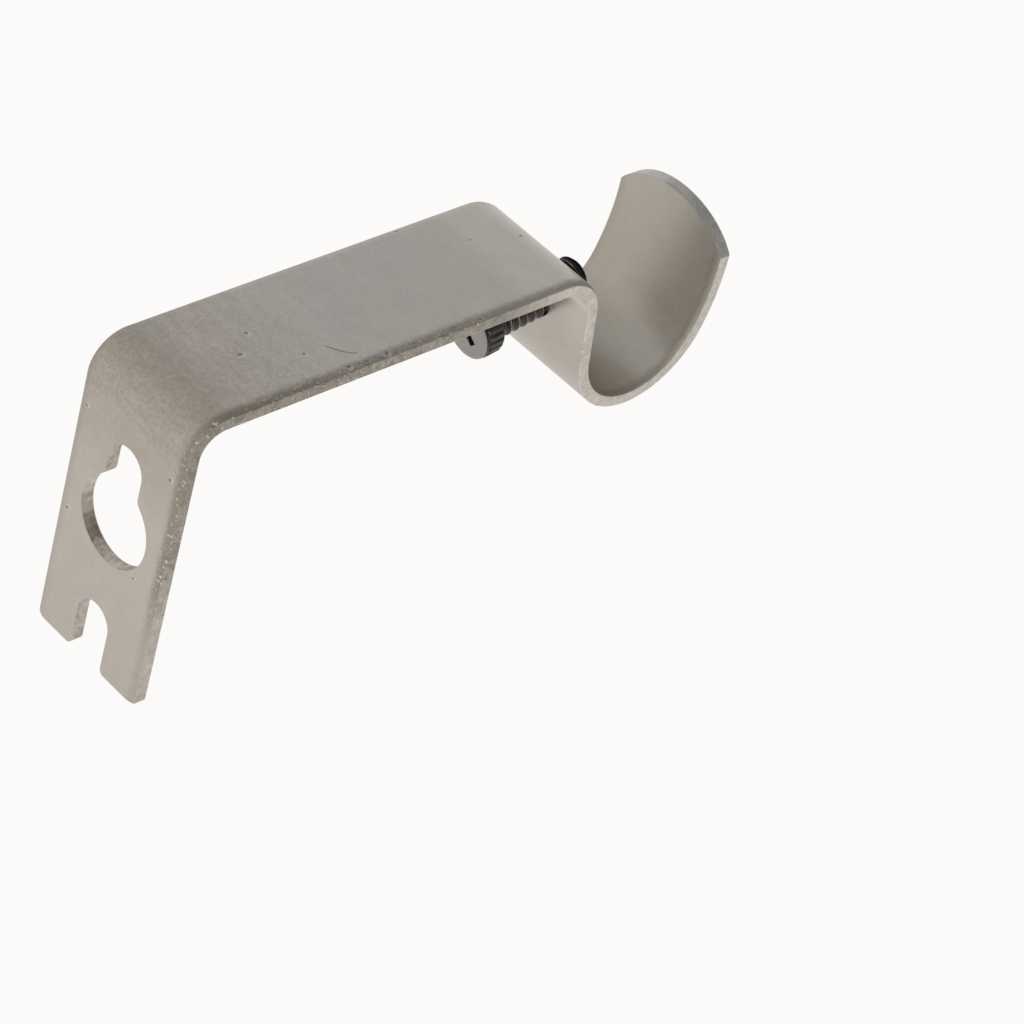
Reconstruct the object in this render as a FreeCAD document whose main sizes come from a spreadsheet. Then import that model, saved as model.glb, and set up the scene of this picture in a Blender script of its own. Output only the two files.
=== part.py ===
import FreeCAD, Part
import math
import os
import Sketcher

# A bracket that carries one end of a curtain pole. A steel strap is bent from
# a wall plate over an arm, down a leaning neck and round a cup that ends in an
# open lip. A knurled clamping screw goes through the neck and holds the pole.
# Sizes are millimetres and degrees. The wall is the plane X = 0, the arm
# reaches out along +X, +Z is up, and the strap is centred on Y = 0. The origin
# is the middle of the round top of the keyhole, where the bracket hangs.

SIZES = [
    ("strap_width", 20.0),
    ("strap_thickness", 2.0),
    ("edge_rounding", 0.3),
    ("corner_rounding", 0.5),
    ("plate_below_keyhole", 31.4),
    ("plate_straight", 39.5),
    ("wall_bend_inside", 3.5),
    ("wall_bend_angle", 89.0),
    ("arm_straight", 56.6),
    ("drop_bend_inside", 5.6),
    ("drop_bend_angle", 81.4),
    ("neck_straight", 9.5),
    ("cup_inside", 10.1),
    ("cup_angle", 153.6),
    ("lip_inside", 31.0),
    ("lip_angle", 31.4),
    ("lip_crown", 5.3),
    ("keyhole_large", 12.6),
    ("keyhole_narrow", 6.4),
    ("keyhole_step", 8.5),
    ("waist_rounding", 0.6),
    ("rim_bevel", 0.35),
    ("notch_width", 6.0),
    ("notch_depth", 9.4),
    ("screw_below_bend", 4.0),
    ("screw_standoff", 8.6),
    ("screw_length", 16.0),
    ("thread_diameter", 5.9),
    ("thread_clearance", 0.05),
    ("tip_chamfer", 0.7),
    ("head_diameter", 8.3),
    ("head_height", 3.3),
    ("head_chamfer", 0.6),
    ("knurl_count", 24.0),
    ("knurl_depth", 0.3),
    ("knurl_width", 0.7),
    ("recess_span", 4.8),
    ("recess_width", 1.3),
    ("recess_depth", 2.2),
    ("recess_floor_ratio", 0.45),
    ("recess_angle", 47.0),
]

# room that a cutting tool has past the metal it cuts
MARGIN = 2.0

# two faces meet in a sharp edge if their normals differ by more than this angle
SHARP_ANGLE = 20.0

# two lengths that differ by less than this are the same
SAME_LENGTH = 1e-4

doc = FreeCAD.newDocument("curtain_pole_bracket")


def make_sheet():
    """Fill the sheet that holds every driving size."""
    sheet = doc.addObject("Spreadsheet::Sheet", "Sizes")
    for row, (alias, value) in enumerate(SIZES, start=1):
        sheet.set("A%d" % row, alias)
        sheet.set("B%d" % row, str(value))
        sheet.setAlias("B%d" % row, alias)
    doc.recompute()
    return sheet


sheet = make_sheet()


def size(alias):
    """The number that a named cell of the sheet holds."""
    return float(getattr(sheet, alias))


def vec(x, y, z=0.0):
    return FreeCAD.Vector(x, y, z)


def origin_feature(body, role):
    """A body's own origin plane, found by its role."""
    for item in body.Origin.OriginFeatures:
        if item.Role == role:
            return item
    raise ValueError("no origin feature " + role)


def new_body(label):
    body = doc.addObject("PartDesign::Body", label)
    body.Label = label
    return body


def new_sketch(body, name, role):
    """A sketch that lies on one of its own body's origin planes."""
    sketch = body.newObject("Sketcher::SketchObject", name)
    sketch.AttachmentSupport = (origin_feature(body, role), [""])
    sketch.MapMode = "FlatFace"
    return sketch


def rule(sketch, kind, *items):
    """Add a geometric constraint."""
    return sketch.addConstraint(Sketcher.Constraint(kind, *items))


def drive(sketch, name, expression, kind, *items):
    """Add a dimension with a name of its own and bind it to the sheet."""
    index = rule(sketch, kind, *items)
    sketch.renameConstraint(index, name)
    sketch.setExpression("Constraints." + name, expression)


def measure(sketch, name, kind, *items):
    """Add a dimension that only reports a distance, for other pieces to follow."""
    index = rule(sketch, kind, *items)
    sketch.setDriving(index, False)
    sketch.renameConstraint(index, name)


def new_feature(body, kind, name, sketch=None, **properties):
    """Add a feature to a body, after its sketch is solved."""
    doc.recompute()
    feature = body.newObject("PartDesign::" + kind, name)
    if sketch is not None:
        feature.Profile = sketch
        sketch.Visibility = False
    for key, value in properties.items():
        setattr(feature, key, value)
    return feature


# The positions that Sketcher gives to the points of a line or an arc.
START, END, CENTRE = 1, 2, 3
# The geometry numbers of a sketch's own axes, and the origin's point number.
H_AXIS, V_AXIS, ORIGIN = -1, -2, 1


class MiddleLine:
    """Walks along the strap's middle line in its side view, as the metal is bent."""

    def __init__(self, start, heading):
        self.point = start
        self.heading = heading
        self.pieces = []

    def side(self):
        """The unit vector to the left of the way forward."""
        return vec(-math.sin(self.heading), math.cos(self.heading))

    def straight(self, length):
        ahead = vec(math.cos(self.heading), math.sin(self.heading))
        end = self.point + ahead * length
        self.pieces.append(("line", self.point, end, self.side()))
        self.point = end

    def bend(self, radius, degrees):
        """Turn left for a positive angle and right for a negative one."""
        turn = math.radians(degrees)
        towards = math.copysign(radius, degrees)
        centre = self.point + self.side() * towards
        self.pieces.append(("bend", centre, radius, self.heading, turn))
        self.heading += turn
        self.point = centre - self.side() * towards


def strap_middle_line():
    """The middle line of the whole strap, from the plate's lower end to the lip."""
    half = size("strap_thickness") / 2.0
    line = MiddleLine(vec(half, -size("plate_below_keyhole")), math.pi / 2.0)
    line.straight(size("plate_straight"))
    line.bend(size("wall_bend_inside") + half, -size("wall_bend_angle"))
    line.straight(size("arm_straight"))
    line.bend(size("drop_bend_inside") + half, -size("drop_bend_angle"))
    line.straight(size("neck_straight"))
    line.bend(size("cup_inside") + half, size("cup_angle"))
    line.bend(size("lip_inside") + half, size("lip_angle"))
    return line.pieces


def strap_face(sketch, piece, offset):
    """Draw one face of the strap along a piece of its middle line.

    Returns the geometry number and its points where the strap comes in and goes out.
    """
    if piece[0] == "line":
        start, end, side = piece[1:]
        curve = Part.LineSegment(start + side * offset, end + side * offset)
        return sketch.addGeometry(curve), START, END
    centre, radius, heading, turn = piece[1:]
    if turn > 0.0:
        first = heading - math.pi / 2.0
        circle = Part.Circle(centre, vec(0, 0, 1), radius - offset)
        arc = Part.ArcOfCircle(circle, first, first + turn)
        return sketch.addGeometry(arc), START, END
    first = heading + math.pi / 2.0
    circle = Part.Circle(centre, vec(0, 0, 1), radius + offset)
    arc = Part.ArcOfCircle(circle, first + turn, first)
    return sketch.addGeometry(arc), END, START


def draw_strap_profile(body):
    """The strap's side view: two faces a thickness apart, with every bend tangent."""
    sketch = new_sketch(body, "StrapProfile", "XZ_Plane")
    pieces = strap_middle_line()
    half = size("strap_thickness") / 2.0
    outer = [strap_face(sketch, piece, half) for piece in pieces]
    inner = [strap_face(sketch, piece, -half) for piece in pieces]
    for face in (outer, inner):
        for (one, _, way_out), (two, way_in, _) in zip(face, face[1:]):
            rule(sketch, "Tangent", one, way_out, two, way_in)
    ends = []
    for k in (0, -1):
        position = START if k == 0 else END
        a = sketch.getPoint(outer[k][0], position)
        b = sketch.getPoint(inner[k][0], position)
        cap = sketch.addGeometry(Part.LineSegment(a, b))
        rule(sketch, "Coincident", cap, START, outer[k][0], position)
        rule(sketch, "Coincident", cap, END, inner[k][0], position)
        ends.append(cap)
    (plate, wall_bend, arm, drop_bend, neck, cup, lip) = [face[0] for face in outer]
    (plate_in, wall_bend_in, arm_in, drop_bend_in, neck_in, cup_in, lip_in) = [face[0] for face in inner]
    for one, two in ((wall_bend, wall_bend_in), (drop_bend, drop_bend_in), (cup, cup_in), (lip, lip_in)):
        rule(sketch, "Coincident", one, CENTRE, two, CENTRE)
    for one, two in ((plate, plate_in), (arm, arm_in), (neck, neck_in)):
        rule(sketch, "Parallel", one, two)
    rule(sketch, "PointOnObject", lip, CENTRE, ends[1])
    rule(sketch, "Vertical", plate)
    rule(sketch, "Horizontal", ends[0])
    rule(sketch, "PointOnObject", plate, START, V_AXIS)
    drive(sketch, "below_keyhole", "Sizes.plate_below_keyhole",
          "DistanceY", plate, START, H_AXIS, ORIGIN, size("plate_below_keyhole"))
    drive(sketch, "thickness", "Sizes.strap_thickness", "Distance", ends[0], size("strap_thickness"))
    for line, alias in ((plate, "plate_straight"), (arm, "arm_straight"), (neck, "neck_straight")):
        drive(sketch, alias, "Sizes." + alias, "Distance", line, size(alias))
    for arc, alias in ((wall_bend_in, "wall_bend_inside"), (drop_bend_in, "drop_bend_inside"),
                       (cup, "cup_inside"), (lip, "lip_inside")):
        drive(sketch, alias, "Sizes." + alias, "Radius", arc, size(alias))
    for arc, alias in ((wall_bend_in, "wall_bend_angle"), (drop_bend_in, "drop_bend_angle"),
                       (cup, "cup_angle"), (lip, "lip_angle")):
        drive(sketch, alias, "Sizes.%s * 1 deg" % alias, "Angle", arc, math.radians(size(alias)))
    measure(sketch, "neck_top_out", "DistanceX", H_AXIS, ORIGIN, neck_in, START, 1.0)
    measure(sketch, "neck_top_up", "DistanceY", H_AXIS, ORIGIN, neck_in, START, 1.0)
    measure(sketch, "lip_end_out", "DistanceX", H_AXIS, ORIGIN, lip_in, END, 1.0)
    measure(sketch, "lip_end_up", "DistanceY", H_AXIS, ORIGIN, lip, END, 1.0)
    return sketch


def polyline(sketch, points):
    """Draw a closed outline of straight lines and join their ends."""
    lines = []
    for a, b in zip(points, points[1:] + points[:1]):
        lines.append(sketch.addGeometry(Part.LineSegment(a, b)))
    for one, two in zip(lines, lines[1:] + lines[:1]):
        rule(sketch, "Coincident", one, END, two, START)
    return lines


def cut(body, kind, name, sketch, **properties):
    """Add a feature that takes metal away, and make sure that it did."""
    doc.recompute()
    before = body.Shape.Volume
    feature = new_feature(body, kind, name, sketch, **properties)
    doc.recompute()
    if not body.Shape.Volume < before:
        raise RuntimeError(name + " cuts nothing")
    return feature


def cut_lip_crown(body):
    """Trim the lip's end to an arc that is highest in the middle of the width."""
    sketch = new_sketch(body, "LipCrown", "YZ_Plane")
    sketch.setExpression("AttachmentOffset.Base.z", "StrapProfile.Constraints.lip_end_out + %s mm" % MARGIN)
    half = size("strap_width") / 2.0
    crown = size("lip_crown")
    top = body.getObject("StrapProfile").getDatum("lip_end_up").Value
    radius = (half ** 2 + crown ** 2) / (2.0 * crown)
    reach = math.asin(half / radius)
    circle = Part.Circle(vec(0, top - radius), vec(0, 0, 1), radius)
    arc = sketch.addGeometry(Part.ArcOfCircle(circle, math.pi / 2.0 - reach, math.pi / 2.0 + reach))
    corner = top - crown
    outline = [vec(-half, corner), vec(-half - MARGIN, corner), vec(-half - MARGIN, top + MARGIN),
               vec(half + MARGIN, top + MARGIN), vec(half + MARGIN, corner), vec(half, corner)]
    lines = [sketch.addGeometry(Part.LineSegment(a, b)) for a, b in zip(outline, outline[1:])]
    for one, two in zip(lines, lines[1:]):
        rule(sketch, "Coincident", one, END, two, START)
    rule(sketch, "Coincident", arc, END, lines[0], START)
    rule(sketch, "Coincident", arc, START, lines[-1], END)
    for line, direction in zip(lines, ("Horizontal", "Vertical", None, "Vertical", "Horizontal")):
        if direction:
            rule(sketch, direction, line)
    rule(sketch, "PointOnObject", arc, CENTRE, V_AXIS)
    rule(sketch, "Horizontal", arc, START, arc, END)
    rule(sketch, "Horizontal", lines[2])
    rule(sketch, "Equal", lines[0], lines[4])
    apex = sketch.addGeometry(Part.Point(vec(0, top)), True)
    rule(sketch, "PointOnObject", apex, START, V_AXIS)
    rule(sketch, "PointOnObject", apex, START, arc)
    drive(sketch, "crown_top", "StrapProfile.Constraints.lip_end_up",
          "DistanceY", H_AXIS, ORIGIN, apex, START, top)
    drive(sketch, "crown", "Sizes.lip_crown", "DistanceY", arc, START, apex, START, crown)
    drive(sketch, "across", "Sizes.strap_width", "DistanceX", arc, END, arc, START, 2.0 * half)
    drive(sketch, "room_beside", "%s mm" % MARGIN, "Distance", lines[0], MARGIN)
    drive(sketch, "room_above", "Sizes.lip_crown + %s" % MARGIN, "Distance", lines[1], crown + MARGIN)
    pocket = cut(body, "Pocket", "LipCrownCut", sketch, Type="Length")
    pocket.setExpression("Length", "Sizes.strap_thickness + %s" % (3.0 * MARGIN))


def cut_plate_openings(body):
    """Punch the keyhole and the open notch that the wall screws go through."""
    keyhole = new_sketch(body, "Keyhole", "YZ_Plane")
    narrow = size("keyhole_narrow") / 2.0
    large = size("keyhole_large") / 2.0
    step = size("keyhole_step")
    # the slot's straight sides meet the wide circle this far above its middle
    waist_up = math.sqrt(large ** 2 - narrow ** 2)
    reach = math.atan2(waist_up, narrow)
    up = vec(0, 0, 1)
    top = keyhole.addGeometry(Part.ArcOfCircle(Part.Circle(vec(0, 0), up, narrow), 0.0, math.pi))
    low = keyhole.addGeometry(Part.ArcOfCircle(
        Part.Circle(vec(0, -step), up, large), math.pi - reach, 2.0 * math.pi + reach))
    left = keyhole.addGeometry(Part.LineSegment(vec(-narrow, 0), vec(-narrow, waist_up - step)))
    right = keyhole.addGeometry(Part.LineSegment(vec(narrow, waist_up - step), vec(narrow, 0)))
    rule(keyhole, "Tangent", top, END, left, START)
    rule(keyhole, "Tangent", right, END, top, START)
    rule(keyhole, "Coincident", left, END, low, START)
    rule(keyhole, "Coincident", low, END, right, START)
    rule(keyhole, "Vertical", left)
    rule(keyhole, "Vertical", right)
    rule(keyhole, "Coincident", top, CENTRE, H_AXIS, ORIGIN)
    rule(keyhole, "PointOnObject", low, CENTRE, V_AXIS)
    drive(keyhole, "narrow_radius", "Sizes.keyhole_narrow / 2", "Radius", top, narrow)
    drive(keyhole, "large_radius", "Sizes.keyhole_large / 2", "Radius", low, large)
    drive(keyhole, "step", "Sizes.keyhole_step", "DistanceY", low, CENTRE, H_AXIS, ORIGIN, step)

    notch = new_sketch(body, "Notch", "YZ_Plane")
    half = size("notch_width") / 2.0
    end_down = size("plate_below_keyhole")
    round_down = end_down - size("notch_depth") + half
    arc = notch.addGeometry(Part.ArcOfCircle(Part.Circle(vec(0, -round_down), up, half), 0.0, math.pi))
    corners = [vec(-half, -round_down), vec(-half, -end_down - MARGIN),
               vec(half, -end_down - MARGIN), vec(half, -round_down)]
    left, bottom, right = [notch.addGeometry(Part.LineSegment(a, b)) for a, b in zip(corners, corners[1:])]
    rule(notch, "Tangent", arc, END, left, START)
    rule(notch, "Tangent", right, END, arc, START)
    rule(notch, "Coincident", left, END, bottom, START)
    rule(notch, "Coincident", bottom, END, right, START)
    rule(notch, "Vertical", left)
    rule(notch, "Vertical", right)
    rule(notch, "Horizontal", bottom)
    rule(notch, "PointOnObject", arc, CENTRE, V_AXIS)
    drive(notch, "notch_radius", "Sizes.notch_width / 2", "Radius", arc, half)
    drive(notch, "round_down", "Sizes.plate_below_keyhole - Sizes.notch_depth + Sizes.notch_width / 2",
          "DistanceY", arc, CENTRE, H_AXIS, ORIGIN, round_down)
    drive(notch, "mouth_down", "Sizes.plate_below_keyhole + %s" % MARGIN,
          "DistanceY", bottom, START, H_AXIS, ORIGIN, end_down + MARGIN)
    for name, sketch in (("KeyholeCut", keyhole), ("NotchCut", notch)):
        pocket = cut(body, "Pocket", name, sketch, Type="Length", Reversed=True)
        pocket.setExpression("Length", "Sizes.strap_thickness + %s" % MARGIN)


def cut_screw_hole(body):
    """Drill the neck square to its face, at a distance down from the drop bend."""
    sketch = new_sketch(body, "ScrewHole", "XZ_Plane")
    profile = body.getObject("StrapProfile")
    neck_top = vec(profile.getDatum("neck_top_out").Value, profile.getDatum("neck_top_up").Value)
    lean = math.radians(180.0 - size("wall_bend_angle") - size("drop_bend_angle"))
    down = vec(math.sin(lean), -math.cos(lean))
    through = vec(math.cos(lean), math.sin(lean))
    thickness = size("strap_thickness")
    radius = size("thread_diameter") / 2.0 + size("thread_clearance")
    on_face = neck_top + down * size("screw_below_bend")
    seat = on_face - through * size("screw_standoff")
    start = on_face - through * MARGIN
    end = on_face + through * (thickness + MARGIN)
    # the neck's wall side, drawn again so that the axis can stand square on it
    neck = sketch.addGeometry(Part.LineSegment(neck_top, on_face), True)
    axis = sketch.addGeometry(Part.LineSegment(seat, on_face), True)
    side, far, wall, near = polyline(sketch, [start, end, end - down * radius, start - down * radius])
    rule(sketch, "Coincident", neck, END, axis, END)
    rule(sketch, "Perpendicular", neck, axis)
    rule(sketch, "PointOnObject", side, START, axis)
    rule(sketch, "Parallel", side, axis)
    rule(sketch, "Perpendicular", side, far)
    rule(sketch, "Perpendicular", far, wall)
    rule(sketch, "Perpendicular", side, near)
    drive(sketch, "neck_out", "StrapProfile.Constraints.neck_top_out",
          "DistanceX", H_AXIS, ORIGIN, neck, START, neck_top.x)
    drive(sketch, "neck_up", "StrapProfile.Constraints.neck_top_up",
          "DistanceY", H_AXIS, ORIGIN, neck, START, neck_top.y)
    drive(sketch, "neck_slope", "(Sizes.wall_bend_angle + Sizes.drop_bend_angle - 90) * 1 deg",
          "Angle", neck, START, H_AXIS, START, math.pi / 2.0 - lean)
    drive(sketch, "below_bend", "Sizes.screw_below_bend", "Distance", neck, size("screw_below_bend"))
    drive(sketch, "standoff", "Sizes.screw_standoff", "Distance", axis, size("screw_standoff"))
    drive(sketch, "room_before", "%s mm" % MARGIN, "Distance", side, START, axis, END, MARGIN)
    drive(sketch, "drill_length", "Sizes.strap_thickness + %s" % (2.0 * MARGIN),
          "Distance", side, thickness + 2.0 * MARGIN)
    drive(sketch, "hole_radius", "Sizes.thread_diameter / 2 + Sizes.thread_clearance", "Distance", far, radius)
    measure(sketch, "seat_out", "DistanceX", H_AXIS, ORIGIN, axis, START, 1.0)
    measure(sketch, "seat_up", "DistanceY", H_AXIS, ORIGIN, axis, START, 1.0)
    cut(body, "Groove", "ScrewHoleCut", sketch, ReferenceAxis=(sketch, ["Axis1"]), Angle=360.0)


def sharp_edges(shape, test):
    """The names of the edges where two faces meet at a sharp angle and that pass a test."""
    names = []
    limit = math.cos(math.radians(SHARP_ANGLE))
    for number, edge in enumerate(shape.Edges, start=1):
        faces = shape.ancestorsOfType(edge, Part.Face)
        if len(faces) != 2:
            continue
        middle = edge.valueAt((edge.FirstParameter + edge.LastParameter) / 2.0)
        normals = [face.normalAt(*face.Surface.parameter(middle)) for face in faces]
        if abs(normals[0].dot(normals[1])) < limit and test(edge, middle):
            names.append("Edge%d" % number)
    return names


def soften_edges(body, kind, name, alias, test):
    """Fillet or chamfer the sharp edges that pass a test, by a size from the sheet."""
    doc.recompute()
    base = body.Tip
    names = sharp_edges(base.Shape, test)
    driven = {"Fillet": "Radius", "Chamfer": "Size"}[kind]
    feature = cut(body, kind, name, None, Base=(base, names), **{driven: size(alias)})
    feature.setExpression(driven, "Sizes." + alias)


def crosses_metal(edge):
    """True for a straight edge that crosses the strap's thickness along X."""
    if edge.Curve.TypeId != "Part::GeomLine":
        return False
    along_x = abs(edge.tangentAt(edge.FirstParameter).x) > math.cos(math.radians(SHARP_ANGLE))
    return along_x and edge.Length < 2.0 * size("strap_thickness")


def is_plate_corner(edge, middle):
    """True for an edge across the metal at the plate's lower end, beside the notch too."""
    return crosses_metal(edge) and abs(middle.z + size("plate_below_keyhole")) < SAME_LENGTH


def is_keyhole_edge(edge, middle):
    """True for any edge of the keyhole, in both faces of the plate and between them."""
    large = size("keyhole_large") / 2.0 + SAME_LENGTH
    top = size("keyhole_narrow") / 2.0 + SAME_LENGTH
    inside = abs(middle.y) < large and -size("keyhole_step") - large < middle.z < top
    return inside and middle.x < size("strap_thickness") + SAME_LENGTH


def is_keyhole_waist(edge, middle):
    """True for the two edges across the metal where the slot opens into the wide circle."""
    return crosses_metal(edge) and is_keyhole_edge(edge, middle)


def is_keyhole_front_rim(edge, middle):
    """True for the keyhole's rim on the room side, where the punch went in."""
    on_front = abs(middle.x - size("strap_thickness")) < SAME_LENGTH
    return on_front and is_keyhole_edge(edge, middle)


def is_outline(edge, middle):
    """True for every edge but the keyhole's, the threaded hole's and the lip's two corners."""
    if is_keyhole_edge(edge, middle) or crosses_metal(edge):
        return False
    hole_radius = size("thread_diameter") / 2.0 + size("thread_clearance")
    round_rim = edge.Curve.TypeId == "Part::GeomCircle" and abs(edge.Curve.Radius - hole_radius) < SAME_LENGTH
    past_plate = middle.x > size("strap_thickness") + size("wall_bend_inside")
    return not (round_rim and past_plate)


def build_bracket_strap():
    body = new_body("bracket_strap")
    profile = draw_strap_profile(body)
    pad = new_feature(body, "Pad", "Strap", profile, SideType="Symmetric")
    pad.setExpression("Length", "Sizes.strap_width")
    doc.recompute()
    cut_lip_crown(body)
    cut_plate_openings(body)
    cut_screw_hole(body)
    soften_edges(body, "Fillet", "RoundedCorners", "corner_rounding", is_plate_corner)
    soften_edges(body, "Fillet", "RoundedWaist", "waist_rounding", is_keyhole_waist)
    soften_edges(body, "Fillet", "RoundedOutline", "edge_rounding", is_outline)
    soften_edges(body, "Chamfer", "RolledKeyholeRim", "rim_bevel", is_keyhole_front_rim)
    return body


def draw_screw_profile(body):
    """Half of the screw's section: a round shank with a bevelled tip, and a round head."""
    sketch = new_sketch(body, "ScrewProfile", "XZ_Plane")
    shank = size("thread_diameter") / 2.0
    head = size("head_diameter") / 2.0
    length, height = size("screw_length"), size("head_height")
    tip, bevel = size("tip_chamfer"), size("head_chamfer")
    outline = [vec(0, -length), vec(shank - tip, -length), vec(shank, tip - length), vec(shank, 0),
               vec(head, 0), vec(head, height - bevel), vec(head - bevel, height), vec(0, height)]
    end, slope, side, under, rim, top_bevel, top, middle = polyline(sketch, outline)
    for line in (end, under, top):
        rule(sketch, "Horizontal", line)
    for line in (side, rim):
        rule(sketch, "Vertical", line)
    rule(sketch, "PointOnObject", end, START, V_AXIS)
    rule(sketch, "PointOnObject", top, END, V_AXIS)
    rule(sketch, "PointOnObject", under, START, H_AXIS)
    drive(sketch, "shank_radius", "Sizes.thread_diameter / 2", "DistanceX", H_AXIS, ORIGIN, side, END, shank)
    drive(sketch, "head_radius", "Sizes.head_diameter / 2", "DistanceX", H_AXIS, ORIGIN, rim, START, head)
    drive(sketch, "shank_length", "Sizes.screw_length", "DistanceY", end, START, H_AXIS, ORIGIN, length)
    drive(sketch, "head_height", "Sizes.head_height", "DistanceY", H_AXIS, ORIGIN, top, END, height)
    drive(sketch, "tip_in", "Sizes.tip_chamfer", "DistanceX", slope, START, slope, END, tip)
    drive(sketch, "tip_up", "Sizes.tip_chamfer", "DistanceY", slope, START, slope, END, tip)
    drive(sketch, "bevel_in", "Sizes.head_chamfer", "DistanceX", top_bevel, END, top_bevel, START, bevel)
    drive(sketch, "bevel_up", "Sizes.head_chamfer", "DistanceY", top_bevel, START, top_bevel, END, bevel)
    return sketch


def cut_knurl(body):
    """Cut one groove along the head's rim and repeat it all the way round."""
    sketch = new_sketch(body, "KnurlGroove", "XY_Plane")
    rim = size("head_diameter") / 2.0
    depth = size("knurl_depth")
    half = size("knurl_width") / 2.0
    # the groove's sides go on past the rim, to twice its depth and twice its width
    points = [vec(rim - depth, 0), vec(rim + depth, -2.0 * half), vec(rim + depth, 2.0 * half)]
    low, outside, high = polyline(sketch, points)
    rule(sketch, "Symmetric", outside, START, outside, END, H_AXIS)
    rule(sketch, "PointOnObject", low, START, H_AXIS)
    drive(sketch, "groove_bottom", "Sizes.head_diameter / 2 - Sizes.knurl_depth",
          "DistanceX", H_AXIS, ORIGIN, low, START, rim - depth)
    drive(sketch, "groove_top", "Sizes.head_diameter / 2 + Sizes.knurl_depth",
          "DistanceX", H_AXIS, ORIGIN, outside, START, rim + depth)
    drive(sketch, "groove_width", "Sizes.knurl_width * 2", "Distance", outside, 4.0 * half)
    groove = cut(body, "Pocket", "KnurlCut", sketch, Type="Length", Reversed=True)
    groove.setExpression("Length", "Sizes.head_height + %s" % MARGIN)
    ring = body.newObject("PartDesign::PolarPattern", "Knurl")
    ring.Originals = [groove]
    ring.Axis = (origin_feature(body, "Z_Axis"), [""])
    ring.Angle = 360.0
    ring.setExpression("Occurrences", "Sizes.knurl_count")
    body.Tip = ring
    doc.recompute()


def slot_section(body, name, height, scale):
    """A rectangle across the head: one slot of the cross recess at one height."""
    sketch = new_sketch(body, name, "XY_Plane")
    sketch.setExpression("AttachmentOffset.Base.z", height)
    sketch.setExpression("AttachmentOffset.Rotation.Angle", "Sizes.recess_angle * 1 deg")
    factor = size("recess_floor_ratio") if scale else 1.0
    across = size("recess_span") * factor / 2.0
    wide = size("recess_width") * (1.0 + factor) / 4.0
    bottom, right, top, left = polyline(sketch, [vec(-across, -wide), vec(across, -wide),
                                                 vec(across, wide), vec(-across, wide)])
    for line in (bottom, top):
        rule(sketch, "Horizontal", line)
    for line in (right, left):
        rule(sketch, "Vertical", line)
    rule(sketch, "Symmetric", bottom, START, top, START, H_AXIS, ORIGIN)
    shrink = " * Sizes.recess_floor_ratio" if scale else ""
    narrow = " * (1 + Sizes.recess_floor_ratio) / 2" if scale else ""
    drive(sketch, "span", "Sizes.recess_span" + shrink, "Distance", bottom, 2.0 * across)
    drive(sketch, "width", "Sizes.recess_width" + narrow, "Distance", right, 2.0 * wide)
    return sketch


def cut_cross_recess(body):
    """Sink one tapered slot into the head and turn a copy of it by a right angle."""
    mouth = slot_section(body, "RecessMouth", "Sizes.head_height", False)
    floor = slot_section(body, "RecessFloor", "Sizes.head_height - Sizes.recess_depth", True)
    slot = cut(body, "SubtractiveLoft", "RecessSlot", mouth, Sections=[floor], Ruled=True)
    cross = body.newObject("PartDesign::PolarPattern", "CrossRecess")
    cross.Originals = [slot]
    cross.Axis = (origin_feature(body, "Z_Axis"), [""])
    cross.Angle = 180.0
    cross.Occurrences = 2
    body.Tip = cross
    doc.recompute()


def build_clamp_screw():
    """The clamping screw, standing on its seat plane with its tip towards the pole."""
    body = new_body("clamp_screw")
    profile = draw_screw_profile(body)
    new_feature(body, "Revolution", "Screw", profile, ReferenceAxis=(profile, ["V_Axis"]), Angle=360.0)
    doc.recompute()
    cut_knurl(body)
    cut_cross_recess(body)
    body.setExpression("Placement.Base.x", "ScrewHole.Constraints.seat_out")
    body.setExpression("Placement.Base.z", "ScrewHole.Constraints.seat_up")
    body.Placement.Rotation = FreeCAD.Rotation(vec(0, 1, 0), 1.0)
    body.setExpression("Placement.Rotation.Angle",
                       "(Sizes.wall_bend_angle + Sizes.drop_bend_angle - 270) * 1 deg")
    return body


def check_document():
    """Stop if any object failed to build."""
    doc.recompute()
    for item in doc.Objects:
        if "Invalid" in item.State or "Error" in item.State:
            raise RuntimeError("%s failed: %s" % (item.Name, item.State))


def export(body):
    shape = body.Shape
    if shape.isNull() or not shape.isValid():
        raise RuntimeError(body.Label + " has no valid shape")
    shape.exportStep("parts/%s.step" % body.Label)
    print(body.Label, round(shape.Volume, 1), len(shape.Solids), shape.BoundBox)


bodies = [build_bracket_strap(), build_clamp_screw()]
check_document()
os.makedirs("parts", exist_ok=True)
for body in bodies:
    export(body)
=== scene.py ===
import math

import bpy
from mathutils import Matrix, Vector


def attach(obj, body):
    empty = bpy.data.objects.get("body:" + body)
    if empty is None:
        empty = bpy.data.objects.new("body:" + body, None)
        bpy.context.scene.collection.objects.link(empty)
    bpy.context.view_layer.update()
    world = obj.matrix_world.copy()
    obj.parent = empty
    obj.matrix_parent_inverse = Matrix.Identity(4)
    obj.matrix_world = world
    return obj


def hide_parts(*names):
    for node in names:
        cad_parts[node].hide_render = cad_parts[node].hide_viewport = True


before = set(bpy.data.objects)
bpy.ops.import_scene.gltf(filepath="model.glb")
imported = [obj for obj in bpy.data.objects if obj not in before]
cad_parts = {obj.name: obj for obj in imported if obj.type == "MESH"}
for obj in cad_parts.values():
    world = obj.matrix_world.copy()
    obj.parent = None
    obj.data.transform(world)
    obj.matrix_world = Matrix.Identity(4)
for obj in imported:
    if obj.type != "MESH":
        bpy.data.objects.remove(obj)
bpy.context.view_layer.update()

# A curtain pole bracket: a bent steel strap in satin grey paint, and one black
# clamping screw through its neck. Sizes are given in millimetres and degrees.
MM = 0.001

STRAP_WIDTH = 20.0
STRAP_THICKNESS = 2.0

# the shears rolled the strap's edges over on the wall side and left them crisp on the front
ROLL_WIDTH = 1.4
ROLL_DEPTH = 0.34
CRISP_EDGE = 0.14

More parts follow.
